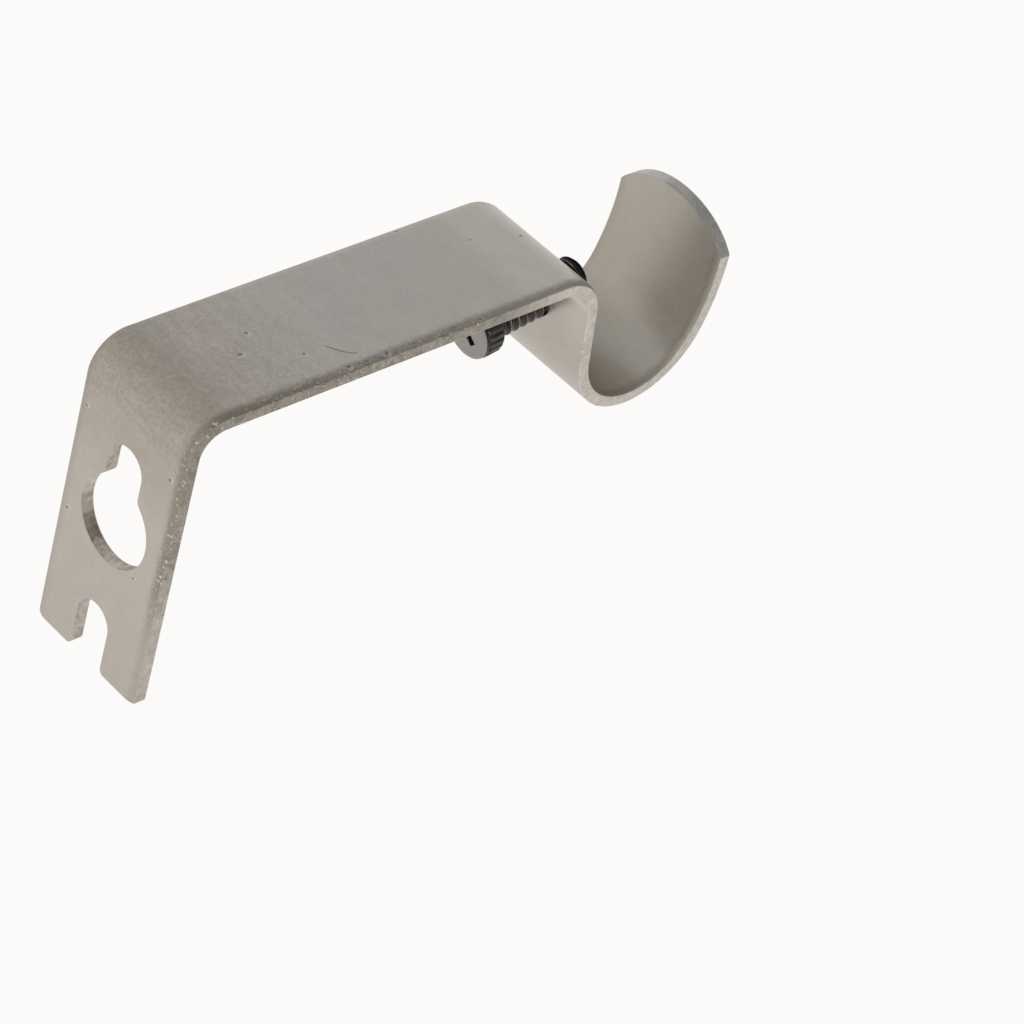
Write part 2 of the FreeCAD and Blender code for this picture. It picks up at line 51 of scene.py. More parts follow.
# the side view, from the plate's end on: straight runs, and bends with their inside radius
PLATE_END = -31.4
PLATE_STRAIGHT = 39.5
PLATE_CORNER = 0.5
WALL_BEND = 89.0
WALL_BEND_INSIDE = 3.5
ARM_STRAIGHT = 56.6
DROP_BEND = 81.4
DROP_BEND_INSIDE = 5.6
NECK_STRAIGHT = 9.5
CUP_BEND = 153.6
CUP_INSIDE = 10.1
LIP_BEND = 31.4
LIP_INSIDE = 31.0
CUP_FAR_SIDE = 85.0

# the arc that the lip's end is trimmed to, and how far out from the wall it is cut
LIP_CROWN_RADIUS = 12.08
LIP_TOP = 14.59
LIP_OUT = 91.5

# the openings, each with the radius of its round parts, and heights above and below them
KEYHOLE_WIDE = 6.3
KEYHOLE_SLOT = 3.2
KEYHOLE_STEP = 8.5
WAIST_ROUNDING = 1.3
NOTCH = 3.0
NOTCH_TOP = -25.0
MOUTH_ROUNDING = 0.9
SCREW_HOLE = 3.0
RIM_ROLL = 0.24
OVER_KEYHOLE = 5.0
UNDER_WALL_BEND = 8.0

# hair scratches on the wall side, along and across the strap: the centre and radius of
# the circle each is a part of, its own middle, its reach and its width
SCRATCHES = (
    ((73.57, -0.76), 8.1, (67.47, -6.16), 2.3, 0.17),
    ((79.0, 6.0), 18.5, (69.6, -10.1), 2.6, 0.06),
)

# small dents in the wall side: place along and across the strap, and radius
DENTS = (
    (58.7, 1.8, 0.45), (62.6, -4.7, 0.34), (55.3, -1.1, 0.55), (66.1, -9.2, 0.42),
    (72.3, -9.3, 0.42), (97.8, 3.5, 0.28), (104.7, 1.3, 0.42), (35.2, 8.6, 0.34),
    (17.8, -5.3, 0.3), (18.9, 8.4, 0.38), (35.6, -7.8, 0.36),
)

# the clamping screw: the way its tip points, the middle of its head's underside, and the
# distance from there to the middle of the neck that it goes through
SCREW_DIRECTION = (0.985996, 0.0, 0.166769)
SCREW_SEAT = (59.837, 0.0, 2.542)
SEAT_TO_NECK = 9.6
SCREW_LENGTH = 16.0
THREAD_CREST = 2.95
THREAD_ROOT = 2.35
THREAD_PITCH = 1.4
THREAD_TURNS = 16
THREAD_STEPS = 48
HEAD_RADIUS = 4.15
HEAD_HEIGHT = 3.3
KNURL_COUNT = 24
RECESS_SPAN = 4.8
RECESS_WIDTH = 1.3
RECESS_DEPTH = 2.2
RECESS_ANGLE = 43.0


def mm(*values):
    """Millimetres as a point in metres."""
    return Vector(values) * MM


# working on a mesh as by hand

def hold(piece):
    """Make one piece the piece that is worked on."""
    bpy.ops.object.select_all(action="DESELECT")
    bpy.context.view_layer.objects.active = piece
    piece.select_set(True)


def name_new(name):
    piece = bpy.context.object
    piece.name = piece.data.name = name
    return piece


def settle():
    """Put the held piece's place, turn and size into its mesh."""
    bpy.ops.object.transform_apply(location=True, rotation=True, scale=True)


def open_mesh(piece):
    hold(piece)
    bpy.ops.object.mode_set(mode="EDIT")
    bpy.ops.mesh.select_mode(type="VERT")
    bpy.ops.mesh.select_all(action="DESELECT")


def close_mesh():
    bpy.ops.object.mode_set(mode="OBJECT")


def pick(kind, test):
    """Select what passes a test, and nothing else.

    The test gets a point's place, a face's middle and normal, or a line's two ends and the
    normals of the faces beside it.
    """
    bpy.ops.mesh.select_mode(type={"points": "VERT", "lines": "EDGE", "faces": "FACE"}[kind])
    bpy.ops.mesh.select_all(action="DESELECT")
    bpy.ops.object.mode_set(mode="OBJECT")
    mesh = bpy.context.object.data
    places = [v.co / MM for v in mesh.vertices]
    if kind == "points":
        for v, place in zip(mesh.vertices, places):
            v.select = test(place)
    elif kind == "lines":
        beside = {}
        for face in mesh.polygons:
            for key in face.edge_keys:
                beside.setdefault(key, []).append(face.normal)
        for edge in mesh.edges:
            a, b = edge.key
            edge.select = test(places[a], places[b], beside.get(edge.key, []))
    else:
        for face in mesh.polygons:
            face.select = test(face.center / MM, face.normal)
    bpy.ops.object.mode_set(mode="EDIT")


def add_plane(name, size, place):
    bpy.ops.object.select_all(action="DESELECT")
    bpy.ops.mesh.primitive_plane_add(size=1.0, location=mm(*place))
    piece = name_new(name)
    piece.scale = (size[0] * MM, size[1] * MM, 1.0)
    settle()
    return piece


def add_block(name, size, place):
    bpy.ops.object.select_all(action="DESELECT")
    bpy.ops.mesh.primitive_cube_add(size=1.0, location=mm(*place))
    piece = name_new(name)
    piece.scale = [side * MM for side in size]
    settle()
    return piece


def add_rod(name, radius, length, place, corners=72, direction=(1.0, 0.0, 0.0)):
    turn = Vector(direction).to_track_quat("Z", "Y").to_euler()
    bpy.ops.object.select_all(action="DESELECT")
    bpy.ops.mesh.primitive_cylinder_add(vertices=corners, radius=radius * MM, depth=length * MM,
                                        end_fill_type="NGON", location=mm(*place), rotation=turn)
    piece = name_new(name)
    settle()
    return piece


def pull(way):
    """Pull new mesh out of what is selected."""
    bpy.ops.mesh.extrude_region_move(TRANSFORM_OT_translate={"value": way})


def close_ends(piece):
    """Close the two open ends of the tube that is being worked on."""
    bpy.ops.mesh.select_mode(type="EDGE")
    bpy.ops.mesh.select_all(action="DESELECT")
    bpy.ops.mesh.select_non_manifold()
    bpy.ops.mesh.edge_face_add()
    close_mesh()
    clean_up(piece)


def draw_outline(name, places, closed=False):
    """A line of edges, drawn by pulling one point from place to place."""
    places = [Vector(place) for place in places]
    piece = add_plane(name, (0.1, 0.1), places[0])
    open_mesh(piece)
    bpy.ops.mesh.select_all(action="SELECT")
    bpy.ops.mesh.merge(type="CENTER")
    for a, b in zip(places, places[1:]):
        pull((b - a) * MM)
    if closed:
        ends = places[0], places[-1]
        pick("points", lambda p: min((p - end).length for end in ends) < 0.001)
        bpy.ops.mesh.edge_face_add()
    close_mesh()
    return piece


def use_modifier(piece, kind, **values):
    """Give a piece a modifier and apply it at once."""
    hold(piece)
    modifier = piece.modifiers.new(kind.title(), kind)
    for key, value in values.items():
        setattr(modifier, key, value)
    bpy.ops.object.modifier_apply(modifier=modifier.name)


def combine(piece, tool, operation):
    """Cut a piece with a tool, or join the tool to it, and put the tool away."""
    use_modifier(piece, "BOOLEAN", object=tool, operation=operation, solver="EXACT")
    bpy.data.objects.remove(tool)


def turn_on_lathe(name, outline, steps):
    """A solid of revolution about Z, from an outline (radius, height) whose ends are on the axis."""
    piece = draw_outline(name, [(radius, 0.0, height) for radius, height in outline])
    use_modifier(piece, "SCREW", axis="Z", angle=math.tau, steps=steps, render_steps=steps,
                 use_merge_vertices=True, merge_threshold=1e-6)
    clean_up(piece)
    return piece


def clean_up(piece):
    open_mesh(piece)
    bpy.ops.mesh.select_all(action="SELECT")
    bpy.ops.mesh.remove_doubles(threshold=1e-7)
    bpy.ops.mesh.normals_make_consistent(inside=False)
    close_mesh()


def shade(piece, angle=32.0):
    hold(piece)
    bpy.ops.object.shade_smooth_by_angle(angle=math.radians(angle))
    use_modifier(piece, "WEIGHTED_NORMAL", keep_sharp=True, weight=100)


# the strap

def strap_route():
    """The strap's middle line, as runs and bends, each with its start and the way it heads."""
    route = []
    heading = math.pi / 2
    x, z = STRAP_THICKNESS / 2, PLATE_END
    for straight, angle, inside, turn, steps in (
            (PLATE_STRAIGHT, WALL_BEND, WALL_BEND_INSIDE, -1, 24),
            (ARM_STRAIGHT, DROP_BEND, DROP_BEND_INSIDE, -1, 28),
            (NECK_STRAIGHT, CUP_BEND, CUP_INSIDE, 1, 60),
            (0.0, LIP_BEND, LIP_INSIDE, 1, 14)):
        if straight:
            route.append(dict(kind="run", x=x, z=z, heading=heading, length=straight))
            x += straight * math.cos(heading)
            z += straight * math.sin(heading)
        radius = inside + STRAP_THICKNESS / 2
        centre_x = x - turn * radius * math.sin(heading)
        centre_z = z + turn * radius * math.cos(heading)
        route.append(dict(kind="bend", x=centre_x, z=centre_z, heading=heading, radius=radius,
                          angle=angle, turn=turn, steps=steps, length=radius * math.radians(angle)))
        heading += turn * math.radians(angle)
        x = centre_x + turn * radius * math.sin(heading)
        z = centre_z - turn * radius * math.cos(heading)
    return route


def place_on_strap(route, place):
    """How far along the strap a place is, and how deep below the strap's wall side."""
    best, start = None, 0.0
    for part in route:
        dx, dz = place.x - part["x"], place.z - part["z"]
        if part["kind"] == "run":
            ahead = dx * math.cos(part["heading"]) + dz * math.sin(part["heading"])
            depth = dx * math.sin(part["heading"]) - dz * math.cos(part["heading"])
        else:
            turn, radius = part["turn"], part["radius"]
            first = part["heading"] - turn * math.pi / 2
            swept = (math.atan2(dz, dx) - first) * turn
            swept = (swept + math.pi) % math.tau - math.pi
            ahead = swept * radius
            depth = (math.hypot(dx, dz) - radius) * turn
        past = max(-ahead, ahead - part["length"], 0.0)
        miss = past + max(abs(depth) - STRAP_THICKNESS, 0.0) + 0.01 * abs(depth)
        if best is None or miss < best[0]:
            best = (miss, start + ahead, depth + STRAP_THICKNESS / 2)
        start += part["length"]
    return best[1], best[2]


def strap_section():
    """The strap's section: rolled over by the shears on the wall side, and crisp on the other."""
    half, front = STRAP_WIDTH / 2, STRAP_THICKNESS
    side = [(ROLL_DEPTH * t ** 2.3, half - ROLL_WIDTH * (1 - t))
            for t in (0, 0.2, 0.4, 0.6, 0.8, 0.94)]
    side += [(ROLL_DEPTH * 0.98, half - 0.03), (ROLL_DEPTH + 0.08, half), (front - CRISP_EDGE, half),
             (front - 0.3 * CRISP_EDGE, half - 0.3 * CRISP_EDGE), (front, half - CRISP_EDGE)]
    return [(x, y, PLATE_END) for x, y in side] + [(x, -y, PLATE_END) for x, y in reversed(side)]


def bend_strap(route):
    """The plain strap: its section pulled up the plate, over the arm and round the cup."""
    strap = draw_outline("strap", strap_section(), closed=True)
    open_mesh(strap)
    bpy.ops.mesh.select_all(action="SELECT")

    # the plate's lower corners are rounded by widening its first few sections
    steps = 6
    turns = [math.pi / 2 * k / steps for k in range(steps + 1)]
    widths = [STRAP_WIDTH / 2 - PLATE_CORNER * (1 - math.sin(turn)) for turn in turns]
    rises = [PLATE_CORNER * (1 - math.cos(turn)) for turn in turns]
    bpy.ops.transform.resize(value=(1, widths[0] / (STRAP_WIDTH / 2), 1),
                             center_override=mm(0, 0, PLATE_END))
    for k in range(steps):
        pull(mm(0, 0, rises[k + 1] - rises[k]))
        bpy.ops.transform.resize(value=(1, widths[k + 1] / widths[k], 1), center_override=(0, 0, 0))
    for number, part in enumerate(route):
        if part["kind"] == "run":
            length = part["length"] - (PLATE_CORNER if number == 0 else 0.0)
            way = mm(math.cos(part["heading"]), 0.0, math.sin(part["heading"])) * length / 3
            for _ in range(3):
                pull(way)
        else:
            bpy.ops.mesh.spin(steps=part["steps"], angle=math.radians(part["angle"]),
                              center=mm(part["x"], 0, part["z"]), axis=(0, part["turn"], 0))

    close_ends(strap)
    return strap


def arc(middle, radius, first, last, steps):
    """Places across and up along an arc, from one angle to another."""
    angles = [math.radians(first + (last - first) * k / steps) for k in range(steps + 1)]
    return [(middle[0] + radius * math.cos(angle), middle[1] + radius * math.sin(angle))
            for angle in angles]


def keyhole_outline():
    """A slot with a round top, a small round on each side of the waist, and the wide circle."""
    out = KEYHOLE_SLOT + WAIST_ROUNDING
    up = math.sqrt((KEYHOLE_WIDE + WAIST_ROUNDING) ** 2 - out ** 2)
    lean = math.degrees(math.atan2(up, out))
    waist = up - KEYHOLE_STEP
    return (arc((0, 0), KEYHOLE_SLOT, 0, 180, 36)
            + arc((-out, waist), WAIST_ROUNDING, 0, -lean, 6)
            + arc((0, -KEYHOLE_STEP), KEYHOLE_WIDE, 180 - lean, 360 + lean, 90)[1:-1]
            + arc((out, waist), WAIST_ROUNDING, 180 + lean, 180, 6))


def notch_outline():
    """A round top, straight sides and a rounded mouth, with a level trim of the plate's end."""
    out, end, beside = NOTCH + MOUTH_ROUNDING, PLATE_END + 0.01, STRAP_WIDTH / 2 + 1.0
    return (arc((0, NOTCH_TOP), NOTCH, 0, 180, 36)
            + arc((-out, end + MOUTH_ROUNDING), MOUTH_ROUNDING, 0, -90, 5)
            + [(-beside, end), (-beside, end - 2), (beside, end - 2), (beside, end)]
            + arc((out, end + MOUTH_ROUNDING), MOUTH_ROUNDING, 270, 180, 5))


def make_punch(name, outline):
    """A punch of an outline, pulled through the plate and closed at both ends."""
    punch = draw_outline(name, [(-STRAP_THICKNESS, y, z) for y, z in outline], closed=True)
    open_mesh(punch)
    bpy.ops.mesh.select_all(action="SELECT")
    pull(mm(3 * STRAP_THICKNESS, 0, 0))
    close_ends(punch)
    return punch


def round_lines(piece, test, offset, segments):
    open_mesh(piece)
    pick("lines", test)
    bpy.ops.mesh.bevel(offset=offset * MM, segments=segments, affect="EDGES",
                       clamp_overlap=False)
    close_mesh()


def is_front_rim(a, b, normals):
    """A line where the plate's front meets the wall of an opening, or the plate's lower end."""
    inside = STRAP_WIDTH / 2 - CRISP_EDGE - 0.01
    return (max(a.z, b.z) < OVER_KEYHOLE and max(abs(a.y), abs(b.y)) < inside
            and any(n.x > 0.999 for n in normals) and any(abs(n.x) < 0.01 for n in normals))


def on_plate(place, top):
    """Whether a place is on the flat plate, below a height."""
    return place.z < top and place.x < STRAP_THICKNESS + 0.1


def punch_plate(strap):
    """Punch the keyhole and the open notch, and roll their rims over on the front."""
    combine(strap, make_punch("keyhole_punch", keyhole_outline()), "DIFFERENCE")
    combine(strap, make_punch("notch_punch", notch_outline()), "DIFFERENCE")
    open_mesh(strap)
    pick("faces", lambda middle, normal: on_plate(middle, UNDER_WALL_BEND))
    bpy.ops.mesh.dissolve_limited(angle_limit=math.radians(0.5))
    close_mesh()
    round_lines(strap, is_front_rim, RIM_ROLL, 3)


def is_cut_wall(middle, normal):
    """A face that runs through the strap's thickness, other than its two long sides."""
    at_side = abs(middle.y) > STRAP_WIDTH / 2 - 0.02
    if at_side and abs(normal.y) > 0.9 and middle.z > PLATE_END + PLATE_CORNER:
        return False
    if on_plate(middle, OVER_KEYHOLE):
        return abs(normal.x) < 0.02 and abs(middle.y) < STRAP_WIDTH / 2 - 0.02
    ahead = Vector(SCREW_DIRECTION)
    from_axis = middle - Vector(SCREW_SEAT)
    from_axis -= ahead * from_axis.dot(ahead)
    drilled = from_axis.length < SCREW_HOLE + 0.1 and abs(normal.dot(ahead)) < 0.1
    crown = math.hypot(middle.y, middle.z - LIP_TOP + LIP_CROWN_RADIUS)
    on_crown = abs(crown - LIP_CROWN_RADIUS) < 0.03 and middle.x > CUP_FAR_SIDE
    return drilled or (on_crown and abs(normal.x) < 0.05)


def make_strap():
    route = strap_route()
    strap = bend_strap(route)
    punch_plate(strap)

    # the neck is drilled for the clamping screw
    neck = Vector(SCREW_SEAT) + Vector(SCREW_DIRECTION) * SEAT_TO_NECK
    drill = add_rod("neck_drill", SCREW_HOLE, 6.0, neck, 72, SCREW_DIRECTION)
    combine(strap, drill, "DIFFERENCE")

    # the lip's end is trimmed to an arc
    trim = add_block("lip_trim", (12.0, 1.3 * STRAP_WIDTH, 10.0), (LIP_OUT, 0.0, 13.5))
    keep = add_rod("lip_keep", LIP_CROWN_RADIUS, 20.0,
                   (LIP_OUT, 0.0, LIP_TOP - LIP_CROWN_RADIUS), 180)
    combine(trim, keep, "DIFFERENCE")
    combine(strap, trim, "DIFFERENCE")
    clean_up(strap)

    # the walls of the openings and the strap's ends get the second finish
    open_mesh(strap)
    pick("faces", is_cut_wall)
    close_mesh()
    for face in strap.data.polygons:
        face.material_index = int(face.select)

    # each point keeps its place along, across and through the strap for the finishes
    mesh = strap.data
    along = mesh.attributes.new("along_strap", "FLOAT_VECTOR", "POINT")
    for v, value in zip(mesh.vertices, along.data):
        run, depth = place_on_strap(route, v.co / MM)
        value.vector = mm(run, v.co.y / MM, depth)
    shade(strap)
    return strap


# the clamping screw, made upright about Z: its head below Z = 0 and its tip at the top

def make_thread():
    """A thread from one turn of its outline, cut to length, with a bevelled tip."""
    crest, root, pitch = THREAD_CREST, THREAD_ROOT, THREAD_PITCH
    outline = [(0.0, root), (0.14, root), (0.30, root + 0.05), (0.56, crest - 0.06), (0.66, crest),
               (0.74, crest), (0.84, crest - 0.06), (1.10, root + 0.05), (1.26, root), (pitch, root)]
    thread = draw_outline("thread", [(out, 0.0, rise - 2 * pitch) for rise, out in outline])
    use_modifier(thread, "SCREW", axis="Z", angle=math.tau, screw_offset=pitch * MM,
                 iterations=THREAD_TURNS, steps=THREAD_STEPS, render_steps=THREAD_STEPS,
                 use_merge_vertices=False)
    clean_up(thread)
    open_mesh(thread)
    for height, way in ((0.2, -1), (SCREW_LENGTH + 0.5, 1)):
        bpy.ops.mesh.select_all(action="SELECT")
        bpy.ops.mesh.bisect(plane_co=mm(0, 0, height), plane_no=(0, 0, way), use_fill=True,
                            clear_outer=True, clear_inner=False, threshold=1e-7)
    close_mesh()
    clean_up(thread)

    # the thread is turned a little so that none of its lines lie on those of the tip
    thread.rotation_euler.z = math.radians(1.3)
    settle()
    end = SCREW_LENGTH
    tip = turn_on_lathe("tip", [
        (0, -1.0), (crest + 0.2, -1.0), (crest + 0.2, end - 0.95), (crest - 0.1, end - 0.65),
        (crest - 0.65, end - 0.06), (crest - 0.75, end), (0, end)], 71)
    combine(thread, tip, "INTERSECT")
    return thread


def make_head():
    """A knurled cylindrical head with a flat front, a cross recess and a short plain neck."""
    rim, front, neck = HEAD_RADIUS, -HEAD_HEIGHT, THREAD_ROOT + 0.12
    steps_per_ridge = 8
    head = turn_on_lathe("head", [
        (0, front), (3.4, front), (3.86, front + 0.02), (3.98, front + 0.1), (4.02, front + 0.24),
        (4.0, front + 0.5), (3.96, front + 0.62), (rim - 0.06, front + 0.74), (rim, front + 0.88),
        (rim, -0.5), (rim - 0.06, -0.3), (3.86, 0), (neck, 0), (neck, 0.6), (0, 0.6)],
        KNURL_COUNT * steps_per_ridge)

    # shallow round grooves between the ridges, pressed in two passes
    def between_ridges(p, first, last):
        phase = (math.atan2(p.y, p.x) % math.tau) / math.tau * KNURL_COUNT % 1.0
        return first < phase < last and front + 0.7 < p.z < -0.1 and math.hypot(p.x, p.y) > 3.6

    for first, last, press in ((0.3, 0.8, 0.982), (0.45, 0.7, 0.975)):
        open_mesh(head)
        pick("points", lambda p: between_ridges(p, first, last))
        bpy.ops.transform.resize(value=(press, press, 1), center_override=(0, 0, 0))
        close_mesh()

    # the recess is cut by two tapered bars that cross, with fillets between their arms
    floor = RECESS_DEPTH - HEAD_HEIGHT
    bars = []
    for number in range(2):
        bar = add_block("recess_%d" % number, (RECESS_SPAN, RECESS_WIDTH, 3.0), (0, 0, floor - 1.5))
        open_mesh(bar)
        pick("points", lambda p: p.z > floor - 0.1)
        bpy.ops.transform.resize(value=(0.42, 0.62, 1), center_override=(0, 0, 0))
        close_mesh()
        bar.rotation_euler.z = math.radians(90 * number)
        settle()
        bars.append(bar)
    combine(bars[0], bars[1], "UNION")
    recess = bars[0]

    def is_inner_corner(a, b, normals):
        return abs(a.z - b.z) > 1.0 and all(
            abs(abs(p.x) - abs(p.y)) < 0.02 and math.hypot(p.x, p.y) < RECESS_WIDTH for p in (a, b))

    round_lines(recess, is_inner_corner, 0.35, 4)
    recess.rotation_euler.z = math.radians(RECESS_ANGLE)
    settle()
    combine(head, recess, "DIFFERENCE")
    return head


def screw_turn():
    """The turn that takes the screw from upright to its place in the neck."""
    ahead = Vector(SCREW_DIRECTION)
    across = Vector((0, -1, 0))
    return Matrix((across, ahead.cross(across), ahead)).transposed()


def make_screw():
    screw = make_thread()
    combine(screw, make_head(), "UNION")
    clean_up(screw)
    screw.name = screw.data.name = "screw"
    screw.matrix_world = Matrix.Translation(mm(*SCREW_SEAT)) @ screw_turn().to_4x4()
    settle()
    shade(screw, 35.0)
    return screw


# finishes

PLACE, NUMBER, COLOUR = "NodeSocketVector", "NodeSocketFloat", "NodeSocketColor"
ORIGIN = (0, 0, 0)

# how dark the dark end of a grain may go, as a share of the colour it lies in
DARKEST = 0.1

# tones along the strap: a place in millimetres and its colour, within the reach of one ramp
TONE_REACH = 200.0
# from 100 to 121 mm, over the arm's end, the drop bend and the neck, the paint is painted lighter:
# painted light
PAINT_TONES_AND_NECK_LIGHT = (
    (0, (0.46, 0.417, 0.365)), (12, (0.475, 0.43, 0.375)), (26, (0.475, 0.43, 0.375)),
    (36, (0.425, 0.375, 0.32)), (43, (0.375, 0.33, 0.28)), (52, (0.475, 0.43, 0.378)),
    (68, (0.51, 0.473, 0.435)), (94, (0.52, 0.483, 0.443)), (100, (0.585, 0.548, 0.49)),
    (110, (0.575, 0.535, 0.475)), (121, (0.475, 0.435, 0.377)), (134, (0.43, 0.39, 0.335)),
)
# from 104 mm on, over the neck and cup, the shorn side is painted pale: a painted reflection of the
# floor
SHORN_TONES_AND_REFLECTION = (
    (0, (0.50, 0.455, 0.40)), (12, (0.49, 0.445, 0.385)), (22, (0.38, 0.345, 0.29)),
    (38, (0.30, 0.27, 0.225)), (46, (0.33, 0.293, 0.242)), (60, (0.315, 0.278, 0.23)),
    (92, (0.325, 0.288, 0.238)), (104, (0.56, 0.52, 0.462)), (165, (0.57, 0.533, 0.478)),
)
WALL_TONES = (
    (0, (0.50, 0.45, 0.39)), (12, (0.50, 0.45, 0.39)), (16.4, (0.66, 0.61, 0.55)),
    (18.3, (0.33, 0.29, 0.245)), (21, (0.42, 0.375, 0.32)), (25, (0.57, 0.52, 0.455)),
    (30, (0.48, 0.43, 0.37)), (40, (0.52, 0.47, 0.41)), (110, (0.3, 0.27, 0.23)),
    (140, (0.46, 0.45, 0.42)), (165, (0.47, 0.46, 0.435)),
)

# colours of the paint's edges and marks
COOLER = (0.965, 1.0, 1.03, 1)
# the rolled edge's colour is painted shade
ROLLED_EDGE_SHADE = (0.24, 0.212, 0.175, 1)
SHORN_DARK = (0.16, 0.14, 0.115, 1)
WALL_DARK = (0.17, 0.147, 0.12, 1)
NIB = (0.60, 0.545, 0.465, 1)
SPECK = (0.22, 0.19, 0.155, 1)
RUBBED_EDGE = (0.66, 0.62, 0.56, 1)
NICK = (0.17, 0.145, 0.115, 1)
DENT_RIM = (0.66, 0.61, 0.53, 1)
DENT_FLOOR = (0.13, 0.115, 0.095, 1)
SCRATCH = (0.1, 0.088, 0.072, 1)
PAINT_METALLIC = 0.62

# colours of the screw
HEAD_BLACK = (0.04, 0.038, 0.031, 1)
THREAD_BLACK = (0.04, 0.031, 0.026, 1)
TIP_BLACK = (0.022, 0.023, 0.03, 1)
# the face's grey is a painted sheen
FACE_SHEEN_GREY = (0.31, 0.285, 0.27, 1)
RUBBED_GREY = (0.33, 0.31, 0.29, 1)
RUBBED_TIP = (0.34, 0.29, 0.19, 1)
SCREW_METALLIC = 0.8


def feed(tree, value, socket):
    """Set an input to a plain value, or link it to the output that gives the value."""
    if isinstance(value, bpy.types.NodeSocket):
        tree.links.new(value, socket)
    else:
        socket.default_value = value


def node(tree, kind, values=None, **settings):
    made = tree.nodes.new(kind)
    for key, value in settings.items():
        setattr(made, key, value)
    for key, value in (values or {}).items():
        feed(tree, value, made.inputs[key])
    return made


def sums(tree, operation, a, b=0.0, clamp=False):
    return node(tree, "ShaderNodeMath", {0: a, 1: b}, operation=operation,
                use_clamp=clamp).outputs[0]


def times(tree, a, b):
    return sums(tree, "MULTIPLY", a, b)


def plus(tree, a, b):
    return sums(tree, "ADD", a, b)


def off_middle(tree, value):
    """How far a value of 0 to 1 lies above or below its middle."""
    return sums(tree, "SUBTRACT", value, 0.5)


def place_sums(tree, operation, a, b):
    """A place worked out from two, or the number that a distance or a dot product gives."""
    made = node(tree, "ShaderNodeVectorMath", {0: a, 1: b}, operation=operation)
    return made.outputs["Value" if operation in ("DISTANCE", "DOT_PRODUCT") else "Vector"]


def fade(tree, value, low, high, to_low=0.0, to_high=1.0):
    """A soft step from one level to another, between two values."""
    values = {"Value": value, "From Min": low, "From Max": high, "To Min": to_low, "To Max": to_high}
    return node(tree, "ShaderNodeMapRange", values, interpolation_type="SMOOTHSTEP").outputs[0]


def noise(tree, where, scale, detail=2.0, roughness=0.5, distortion=0.0, output=0):
    values = {"Vector": where, "Scale": scale, "Detail": detail, "Roughness": roughness,
              "Distortion": distortion}
    return node(tree, "ShaderNodeTexNoise", values).outputs[output]


def blend_colours(tree, share, a, b, kind="MIX"):
    return node(tree, "ShaderNodeMix", {0: share, 6: a, 7: b}, data_type="RGBA",
                blend_type=kind).outputs[2]


def brighten(tree, colour, level):
    """A colour made lighter or darker by a level, where 1 leaves it as it is."""
    grey = node(tree, "ShaderNodeCombineColor", {0: level, 1: level, 2: level}).outputs[0]
    return blend_colours(tree, 1.0, colour, grey, "MULTIPLY")


def tones(tree, run, stops):
    """A colour that changes along the strap."""
    ramp = node(tree, "ShaderNodeValToRGB", {0: times(tree, run, 1 / (TONE_REACH * MM))})
    ramp.color_ramp.interpolation = "EASE"
    points = ramp.color_ramp.elements
    while len(points) < len(stops):
        points.new(0.5)
    for point, (place, _) in zip(points, stops):
        point.position = place / TONE_REACH
    for point, (_, colour) in zip(points, stops):
        point.color = (*colour, 1)
    return ramp.outputs[0]


def new_group(name, inputs, outputs):
    group = bpy.data.node_groups.new(name, "ShaderNodeTree")
    for label, kind, value in inputs:
        socket = group.interface.new_socket(name=label, in_out="INPUT", socket_type=kind)
        socket.default_value = value
    for label, kind in outputs:
        group.interface.new_socket(name=label, in_out="OUTPUT", socket_type=kind)
    return group, node(group, "NodeGroupInput").outputs, node(group, "NodeGroupOutput")


def put(group, target, **values):
    """Feed inputs by their names, which are written here without capitals."""
    for label, value in values.items():
        feed(group, value, target.inputs[label.capitalize()])


def use_group(tree, group, **values):
    """Use a group once, with what goes into each of its inputs."""
    made = node(tree, "ShaderNodeGroup", node_tree=group)
    put(tree, made, **values)
    return made


def new_finish(name):
    made = bpy.data.materials.new(name)
    made.use_nodes = True
    return made, made.node_tree, made.node_tree.nodes["Principled BSDF"]


def raise_surface(tree, shader, height, distance, strength):
    bump = node(tree, "ShaderNodeBump", {"Height": height, "Distance": distance,
                                         "Strength": strength})
    tree.links.new(bump.outputs[0], shader.inputs["Normal"])


def speckle_group():
    """Fine light and dark grain in a paint, in two sizes, over a soft mottle."""
    group, given, out = new_group(
        "paint_speckle",
        [("Where", PLACE, ORIGIN), ("Colour", COLOUR, (0.5, 0.5, 0.5, 1)),
         ("Strength", NUMBER, 1.0)],
        [("Colour", COLOUR), ("Grain", NUMBER), ("Mottle", NUMBER)])
    coarse = times(group, noise(group, given["Where"], 1500.0, 2.0, 0.6), 0.5)
    fine = times(group, noise(group, given["Where"], 3600.0, 1.0), 0.5)
    grain = fade(group, plus(group, coarse, fine), 0.32, 0.68)
    mottle = noise(group, given["Where"], 330.0, 3.0, 0.65)
    spread = times(group, off_middle(group, grain), given["Strength"])
    soft = times(group, off_middle(group, mottle), 0.16)
    level = sums(group, "MAXIMUM", plus(group, plus(group, spread, soft), 1.0), DARKEST)
    put(group, out, colour=brighten(group, given["Colour"], level), grain=grain, mottle=mottle)
    return group


